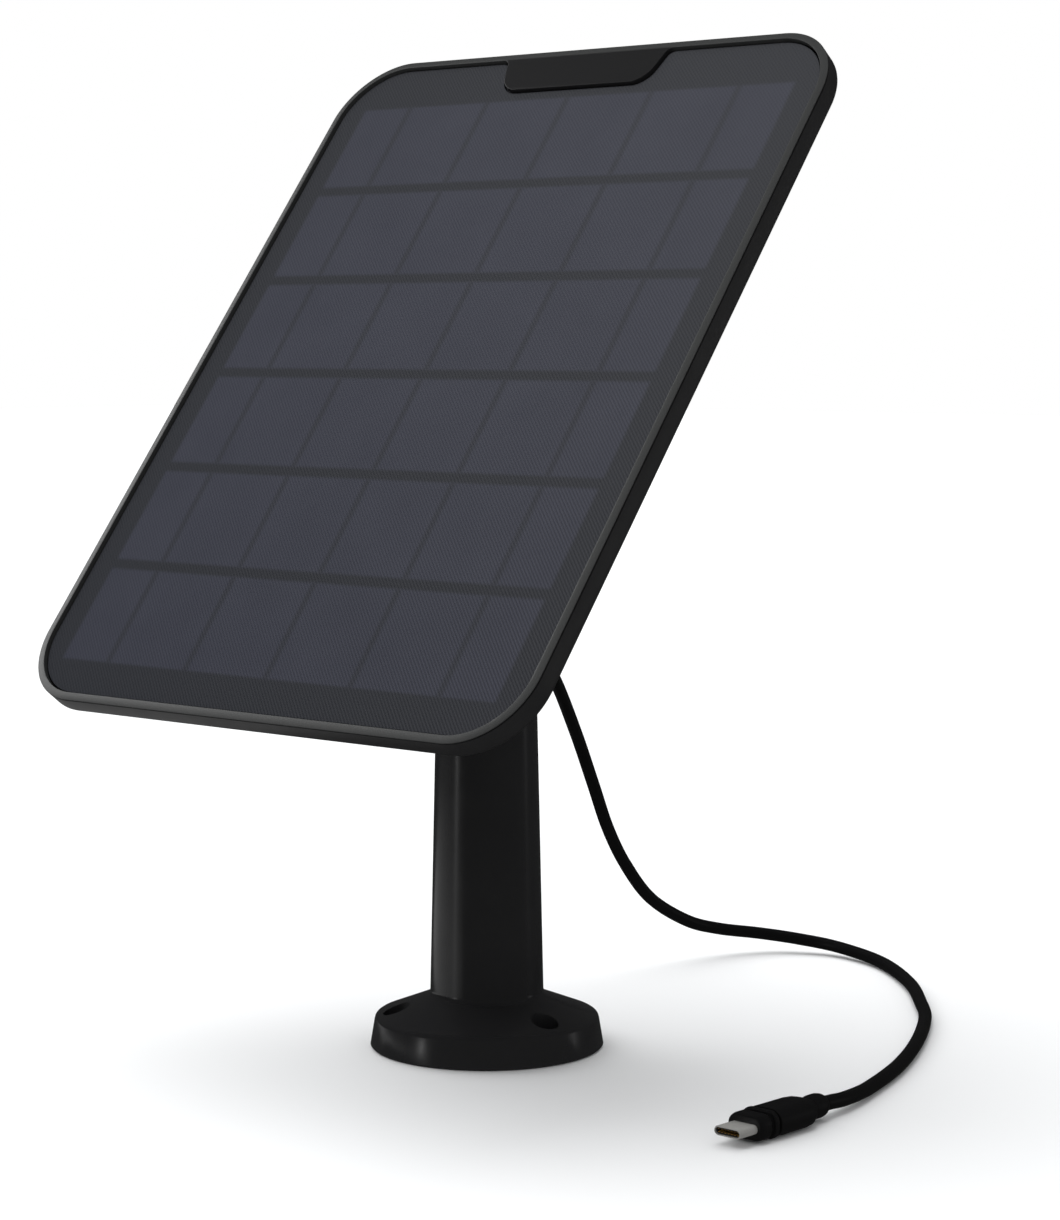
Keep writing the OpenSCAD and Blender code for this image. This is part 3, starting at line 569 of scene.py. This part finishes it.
# Painted shade darkens its grooves, more strongly towards the lower right corner of the face
corner_way = math_node("SUBTRACT", split.outputs[0], split.outputs[1])
depth = add_node(laminate, "ShaderNodeMapRange",
                 {0: corner_way, 1: -0.05, 2: 0.17, 3: 0.05, 4: 0.42})
painted_groove_shade = math_node("MULTIPLY", math_node("SUBTRACT", 1.0, strong),
                         math_node("MULTIPLY", depth.outputs[0], 0.5))
# Mixes the painted groove shade into the film's colour
shaded = add_node(laminate, "ShaderNodeMix",
                  {0: painted_groove_shade, 6: film_colour.outputs[2],
                   7: linear("#121318")}, data_type="RGBA")
link(laminate, shaded.outputs[2], shader, "Base Color")
press = add_node(laminate, "ShaderNodeBump", {"Height": emboss, "Distance": 0.02 * MM,
                                              "Strength": 0.6})
link(laminate, press.outputs[0], shader, "Normal")
finish_piece(film, PANEL_PLACE, "panel", laminate, ["cover_film"], angle=15)


# ---------------------------------------------------------------- post and flange
# The post is one hollow moulding of black ASA with its conical screw flange, satin all over.
# Three screw pockets are sunk in the flange, and the underside is cored out to even the walls.
POST_PROFILE = [
    (32.1, 0.5), (30.92, 7.5), (30.75, 8.05), (30.45, 8.45), (30.07, 8.71), (24, 11.08),
    (16.84, 13.87),
    (16.35, 14.15), (15.9, 14.62), (15.66, 15.15), (15.58, 15.73), (13.65, 103.6), (13.3, 104),
    (11.2, 104), (11.2, 117.4), (10.8, 118), (5.1, 118), (5.1, 98), (11, 98), (11, 0), (31.6, 0)]
POCKET_CIRCLE, POCKET_R, POCKET_FLOOR, HOLE_R = 25 * MM, 3.8 * MM, 4.6 * MM, 2.15 * MM
POCKET_TURN = -10


def lathe(name, profile, steps=96):
    """A solid of revolution about Z. The profile runs round the solid's half section, in mm."""
    bpy.ops.mesh.primitive_circle_add(vertices=len(profile), radius=1)
    turned = bpy.context.object
    turned.name = turned.data.name = name
    for vertex, (radius, height) in zip(turned.data.vertices, profile):
        vertex.co = (radius * MM, 0, height * MM)
    edit(turned, "verts", everything,
         (bpy.ops.mesh.spin, {"steps": steps, "angle": 2 * math.pi, "center": (0, 0, 0),
                              "axis": (0, 0, 1), "dupli": False}),
         (bpy.ops.mesh.select_all, {"action": "SELECT"}),
         (bpy.ops.mesh.remove_doubles, {"threshold": 1e-7}),
         (bpy.ops.mesh.normals_make_consistent, {"inside": False}))
    return turned


def rod(name, radius, low, high, x=0, y=0, steps=40):
    """A cutter: a plain cylinder along Z."""
    bpy.ops.mesh.primitive_cylinder_add(vertices=steps, radius=radius, depth=high - low,
                                        location=(x, y, (low + high) / 2))
    cylinder = bpy.context.object
    cylinder.name = name
    apply_all(cylinder)
    return cylinder


post = lathe("flange_post", POST_PROFILE)
cored = rod("cored", 28.6 * MM, -MM, 5.2 * MM, steps=96)
hub_and_bosses = [rod("hub", 17 * MM, -2 * MM, 7 * MM, steps=96)]
cutters = []
for i in range(3):
    turn = math.radians(POCKET_TURN + 120 * i)
    x, y = POCKET_CIRCLE * math.cos(turn), POCKET_CIRCLE * math.sin(turn)
    hub_and_bosses.append(rod("boss", 6.2 * MM, -2 * MM, 7 * MM, x, y))
    cutters += [rod("hole", HOLE_R, -MM, 20 * MM, x, y),
                rod("pocket", POCKET_R, POCKET_FLOOR, 20 * MM, x, y)]
combine(cored, hub_and_bosses, "DIFFERENCE")
combine(post, [cored] + cutters, "DIFFERENCE")
soften(post, 0.3 * MM, 3, angle=50)
post_plastic = moulded("moulded_black_asa", "#212122", "#272728", 0.22, 0.04, 0.7 * MM, 0.006 * MM)
finish_piece(post, Matrix.Identity(4), "root", post_plastic, ["bracket_post"],
             angle=35)


# ---------------------------------------------------------------- swivel head and lock ring
# The head is a black glass-filled nylon fork that turns on the post's spigot, held by a screw
# and washer from inside the post. A fluted ring screws down over its foot and clamps it.
def worked_copy(name, node, body, material, rounding):
    """A merged copy of a CAD node, with its edges rounded as moulding leaves them."""
    copy = bpy.data.objects.new(name, frame["nodes"][node].data.copy())
    bpy.context.scene.collection.objects.link(copy)
    edit(copy, "verts", everything, (bpy.ops.mesh.remove_doubles, {"threshold": 1e-6}),
         (bpy.ops.mesh.dissolve_limited, {"angle_limit": math.radians(0.5)}))
    soften(copy, rounding, 2, angle=50)
    return finish_piece(copy, Matrix.Identity(4), body, material, [node], angle=25)


def coat_nodes(material, *nodes):
    """Gives CAD nodes their real finish."""
    for node in nodes:
        data = frame["nodes"][node].data
        data.materials.clear()
        data.materials.append(material)


def metal(name, dark, light, roughness, spread, mark, stretch=(1, 1, 1)):
    """Bare or plated metal: its tone and gloss vary with fine marks of the given width."""
    material, shader = new_material(name, roughness, metallic=1.0)
    place = add_node(material, "ShaderNodeTexCoord").outputs["Object"]
    laid = add_node(material, "ShaderNodeMapping", {"Vector": place, "Scale": stretch})
    marks = add_node(material, "ShaderNodeTexNoise",
                     {"Vector": laid.outputs[0], "Scale": 1 / mark, "Detail": 4.0,
                      "Roughness": 0.6})
    tone = add_node(material, "ShaderNodeMix",
                    {0: marks.outputs[0], 6: linear(dark), 7: linear(light)}, data_type="RGBA")
    link(material, tone.outputs[2], shader, "Base Color")
    gloss = add_node(material, "ShaderNodeMapRange",
                     {0: marks.outputs[0], 1: 0.3, 2: 0.7, 3: roughness - spread,
                      4: roughness + spread})
    link(material, gloss.outputs[0], shader, "Roughness")
    return material


# Glass-filled nylon: black with a slight fibre bloom, coarser in grain than the post
filled_nylon = moulded("glass_filled_nylon", "#161617", "#202021", 0.42, 0.07, 0.5 * MM, 0.02 * MM,
                       cloud=5)
worked_copy("swivel_fork", "swivel_head", "head", filled_nylon, 0.35 * MM)
worked_copy("fluted_lock_ring", "pan_lock_ring", "lock_ring", filled_nylon,
            0.25 * MM)

# Zinc plate: pale blue-grey metal with a soft patchy gloss
zinc = metal("zinc_plated_steel", "#8f949a", "#c3c7cb", 0.32, 0.08, 1.2 * MM)
coat_nodes(zinc, "pivot_screw", "pivot_washer", "tilt_bolt", "socket_screws", "cover_screws",
           "board_screws")


# ---------------------------------------------------------------- tilt joint
# A steel bolt crosses the fork and the arm's barrel between rubber-faced friction washers.
# The lobed knob has a turned brass insert pressed in and clamps the joint by hand.
worked_copy("lobed_knob", "tilt_knob", "knob", filled_nylon, 0.4 * MM)
# Turned brass: yellow and bright, with tool rings
brass = metal("turned_brass", "#a8843f", "#d9b770", 0.25, 0.06, 0.3 * MM, stretch=(4, 1, 1))
coat_nodes(brass, "knob_insert")
# Moulded EPDM: grey-black and matte, with a faint bloom
epdm = moulded("moulded_epdm_rubber", "#26262a", "#323234", 0.7, 0.06, 0.4 * MM, 0.02 * MM, cloud=6)
coat_nodes(epdm, "friction_washers", "cover_gasket")


# ---------------------------------------------------------------- arm, socket and catch
# The arm's plate slides into a socket screwed to the panel's back, and a sprung button locks
# it. All are black nylon mouldings; the button sits in a well closed by a lid.
worked_copy("tilt_arm_and_plate", "tilt_arm", "panel", filled_nylon, 0.35 * MM)
worked_copy("slide_in_socket", "rear_socket", "panel", filled_nylon, 0.35 * MM)
worked_copy("catch_button", "release_button", "button", filled_nylon, 0.25 * MM)
worked_copy("catch_well_lid", "catch_cap", "panel", filled_nylon, 0.2 * MM)
# Spring wire: drawn, dark and bright along its length
spring_wire = metal("drawn_spring_wire", "#7c7f84", "#aeb1b5", 0.22, 0.05, 0.2 * MM)
coat_nodes(spring_wire, "catch_spring")


# ---------------------------------------------------------------- back cover, vent and gland
# A raised cover of the housing's own ABS closes the charger's bay on a rubber gasket with six
# screws. A vent plug lets it breathe and the lead leaves through a tapered rubber gland.
worked_copy("charger_cover", "back_cover", "panel", housing_plastic, 0.5 * MM)
# Polypropylene: waxy dark grey with a soft shine
waxy = moulded("moulded_polypropylene", "#2c2c2f", "#38383b", 0.38, 0.05, 0.6 * MM, 0.01 * MM,
               cloud=5)
worked_copy("vent_stopper", "vent_plug", "panel", waxy, 0.2 * MM)
worked_copy("lead_gland", "cable_gland", "panel", overmould, 0.2 * MM)
coat_nodes(waxy, "gland_nut")
coat_nodes(jacket, "lead_inner")


# ---------------------------------------------------------------- charger board
# A green FR-4 board with a copper coil, black chips and a white nylon socket feeds the lead.
# Two red silicone wires bring the cells' current through the back sheet.
def speckled(name, dark, light, roughness, size, coat=0.0, bump=0.005 * MM):
    """A smooth surface whose colour varies in specks of one size."""
    material, shader = new_material(name, roughness, coat=coat)
    place = add_node(material, "ShaderNodeTexCoord").outputs["Object"]
    cells = add_node(material, "ShaderNodeTexVoronoi", {"Vector": place, "Scale": 1 / size})
    tone = add_node(material, "ShaderNodeMix",
                    {0: cells.outputs["Distance"], 6: linear(dark),
                     7: linear(light)}, data_type="RGBA")
    link(material, tone.outputs[2], shader, "Base Color")
    relief_map = add_node(material, "ShaderNodeBump",
                          {"Height": cells.outputs["Distance"], "Distance": bump, "Strength": 1.0})
    link(material, relief_map.outputs[0], shader, "Normal")
    return material


coat_nodes(speckled("solder_mask", "#0f4a2e", "#1c6a43", 0.3, 2.2 * MM, coat=0.4), "charge_board")
coat_nodes(metal("enamelled_copper", "#8a4a24", "#c67a45", 0.25, 0.05, 0.4 * MM), "board_coil")
coat_nodes(moulded("epoxy_package", "#141415", "#1d1d1e", 0.5, 0.05, 0.2 * MM, 0.01 * MM, cloud=3),
           "board_chips")
coat_nodes(moulded("natural_nylon", "#dcd9cf", "#ebe8de", 0.4, 0.05, 0.4 * MM, 0.01 * MM, cloud=4),
           "board_socket")
coat_nodes(moulded("red_silicone", "#8d1414", "#a82020", 0.45, 0.05, 0.4 * MM, 0.01 * MM, cloud=4),
           "feed_wires", "lead_cores")


# ---------------------------------------------------------------- cells behind the film
# Six strips of dark silicon cells lie on a black back sheet, joined by tinned ribbons.
# All are laminated under the film, so only their soft outlines reach the eye.
coat_nodes(speckled("dark_silicon", "#1a2030", "#28304a", 0.25, 1.6 * MM, coat=0.5),
           *[f"cell_strip_{i}" for i in range(1, 7)])
coat_nodes(moulded("black_back_sheet", "#1b1c20", "#25262a", 0.5, 0.05, 0.5 * MM, 0.01 * MM),
           "backing_board")
coat_nodes(metal("tinned_ribbon", "#6d7074", "#a3a6a9", 0.35, 0.08, 0.6 * MM, stretch=(1, 0.2, 1)),
           "ribbons")


# ---------------------------------------------------------------- floor and light
# A plain white floor under a broad soft light from the upper left. A dim card lies in the
# floor for reflections alone. One soft box is mirrored in the panel's face and one in its rim,
# and two strips draw thin glints on the bracket.
bpy.ops.mesh.primitive_plane_add(size=12, location=(0, 0, -0.0001))
floor = bpy.context.object
floor.name = "floor"
white, shader = new_material("white_floor", 0.9)
shader.inputs["Base Color"].default_value = linear("#f3f4f5")
shader.inputs["Specular IOR Level"].default_value = 0.0
floor.data.materials.append(white)
floor.visible_diffuse = floor.visible_glossy = False

bpy.ops.mesh.primitive_circle_add(vertices=64, radius=0.27, fill_type="NGON",
                                  location=(-0.3, -0.22, -0.0003))
card = bpy.context.object
card.name = "reflected_card"
glow, shader = new_material("card_glow", 1.0)
shader.inputs["Base Color"].default_value = (0, 0, 0, 1)
shader.inputs["Emission Color"].default_value = (1, 1, 1, 1)
shader.inputs["Emission Strength"].default_value = 0.55
card.data.materials.append(glow)
card.visible_camera = card.visible_shadow = card.visible_diffuse = False

sky = bpy.data.worlds.new("studio")
bpy.context.scene.world = sky
sky.use_nodes = True
nodes, links = sky.node_tree.nodes, sky.node_tree.links
ray = nodes.new("ShaderNodeLightPath")
backdrop = nodes["Background"]
surround, dark = nodes.new("ShaderNodeBackground"), nodes.new("ShaderNodeBackground")
for shade, strength in ((backdrop, 1.0), (surround, 0.55), (dark, 0.03)):
    shade.inputs["Color"].default_value = (1, 1, 1, 1)
    shade.inputs["Strength"].default_value = strength
unseen, both = nodes.new("ShaderNodeMixShader"), nodes.new("ShaderNodeMixShader")
for socket, target in ((ray.outputs["Is Glossy Ray"], unseen.inputs[0]),
                       (surround.outputs[0], unseen.inputs[1]),
                       (dark.outputs[0], unseen.inputs[2]),
                       (ray.outputs["Is Camera Ray"], both.inputs[0]),
                       (unseen.outputs[0], both.inputs[1]), (backdrop.outputs[0], both.inputs[2]),
                       (both.outputs[0], nodes["World Output"].inputs["Surface"])):
    links.new(socket, target)


def aim(light, source, target):
    light.location = source
    light.rotation_euler = (Vector(target) - Vector(source)).to_track_quat("-Z", "Y").to_euler()
    bpy.context.scene.collection.objects.link(light)


dome = bpy.data.objects.new("soft_dome", bpy.data.lights.new("soft_dome", "SUN"))
dome.data.energy, dome.data.angle = 2.8, math.radians(75)
dome.visible_glossy = False
aim(dome, (-0.5, -0.05, 0.9), (0, 0, 0))
for name, source, width, height, radiance, lit in (
        ("film_box", (-0.5, -0.4, 1.4), 0.7, 0.7, 2.2, [film, housing]),
        ("rim_box", (-1.35, -0.3, 0.78), 0.8, 0.8, 3.0, [rim]),
        ("left_strip", (-0.67, -1.35, 0.1), 0.1, 0.2, 6.0, []),
        ("right_strip", (1.0, 1.11, 0.1), 0.08, 0.2, 2.0, [])):
    box = bpy.data.objects.new(name, bpy.data.lights.new(name, "AREA"))
    box.data.shape, box.data.size, box.data.size_y = "RECTANGLE", width, height
    box.data.energy = radiance * math.pi * width * height
    box.visible_diffuse = False
    aim(box, source, (0, 0, 0.12 if lit else 0.05))
    if lit:
        box.light_linking.receiver_collection = bpy.data.collections.new(name + "_lights")
        for piece in lit:
            box.light_linking.receiver_collection.objects.link(piece)
bpy.context.scene.view_settings.view_transform = "Standard"


# ---------------------------------------------------------------- last update
bpy.context.view_layer.update()
